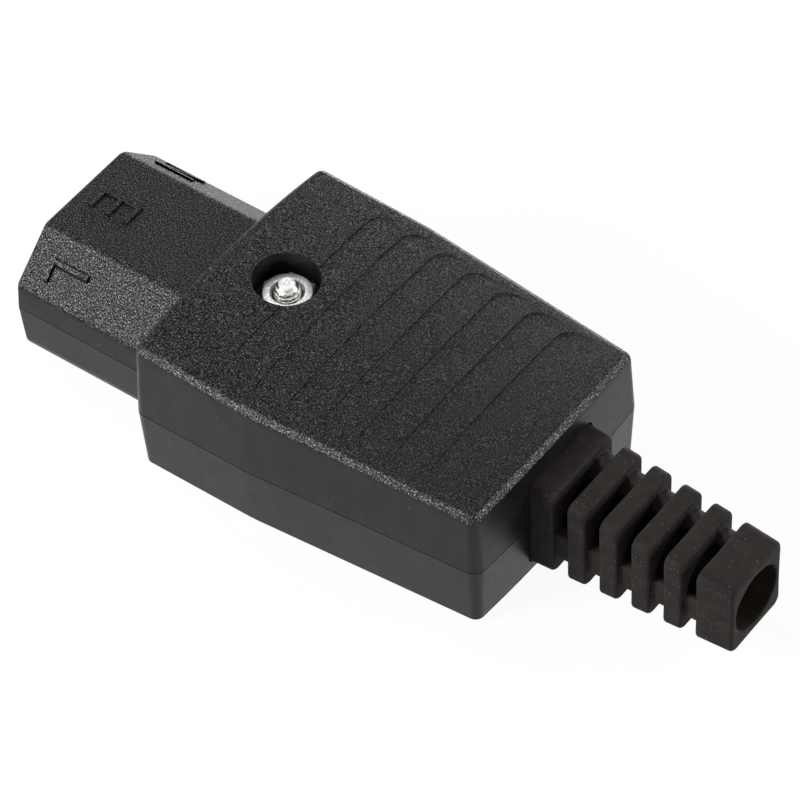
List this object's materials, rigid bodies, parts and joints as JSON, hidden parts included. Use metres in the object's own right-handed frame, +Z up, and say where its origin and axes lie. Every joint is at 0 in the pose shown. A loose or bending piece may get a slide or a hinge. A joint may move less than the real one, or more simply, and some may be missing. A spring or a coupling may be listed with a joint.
{
  "type": "rewirable iec c13 connector",
  "caption": "Rewirable earthed appliance connector: split moulded body with a stepped grip and a keyed nose, closed by a screw and nut, with a slotted rubber cable boot.",
  "frame": {"origin": "centre of the plan, on the flat base that the connector lies on", "axes": "+X from the nose to the cable end, +Z up from the base"},
  "size_m": [0.0882, 0.0338, 0.0191],
  "materials": {
    "shell_plastic": "charcoal black moulding, spark-eroded grain on top and smooth satin sides",
    "boot_rubber": "matt black soft moulding",
    "contact_brass": "plain rolled brass",
    "inner_screw_steel": "plain bright steel",
    "closing_zinc": "bright zinc plate",
    "clamp_plastic": "plain black moulding"
  },
  "bodies": {
    "root": {"upper_shell": "shell_plastic", "lower_shell": "shell_plastic", "live_contact": "contact_brass", "neutral_contact": "contact_brass", "earth_contact": "contact_brass", "live_terminal": "contact_brass", "neutral_terminal": "contact_brass", "earth_terminal": "contact_brass", "live_terminal_screw": "inner_screw_steel", "neutral_terminal_screw": "inner_screw_steel", "earth_terminal_screw": "inner_screw_steel", "clamp_screw_left": "inner_screw_steel", "clamp_screw_right": "inner_screw_steel", "cable_clamp": "clamp_plastic", "closing_screw": "closing_zinc", "closing_nut": "closing_zinc", "strain_relief": "boot_rubber"}
  },
  "joints": []
}
